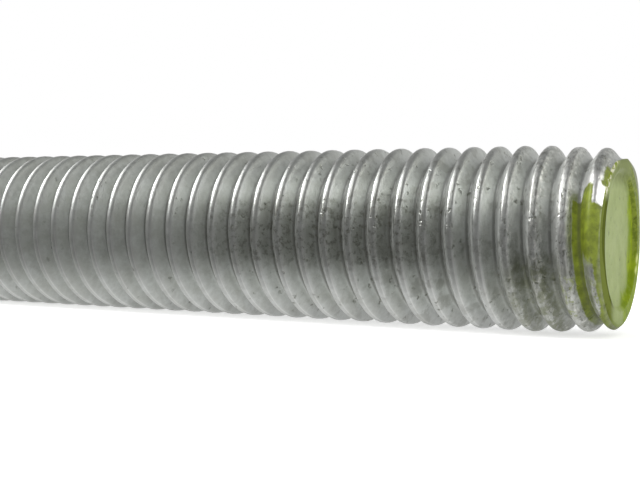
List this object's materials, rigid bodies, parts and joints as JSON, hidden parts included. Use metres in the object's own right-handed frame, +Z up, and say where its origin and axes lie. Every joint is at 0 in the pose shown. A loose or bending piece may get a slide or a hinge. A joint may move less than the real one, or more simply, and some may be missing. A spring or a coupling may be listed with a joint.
{
  "type": "threaded rod",
  "caption": "Fully threaded steel rod with a metric coarse right-hand thread, chamfered ends and one shallowly cupped, paint-marked end.",
  "frame": {"origin": "centre of the cupped, paint-marked end, on the plane of its rim", "axes": "+X along the rod's axis, out of the cupped end, so the rod lies from x = 0 to x = -0.1 m; +Z up, +Y completes the frame"},
  "size_m": [0.1, 0.012, 0.012],
  "materials": {
    "zinc_plated_steel": "matt galvanised grey, with a worn lime green paint mark on the cupped end and its last turns"
  },
  "bodies": {
    "root": {"threaded_rod": "zinc_plated_steel"}
  },
  "joints": []
}
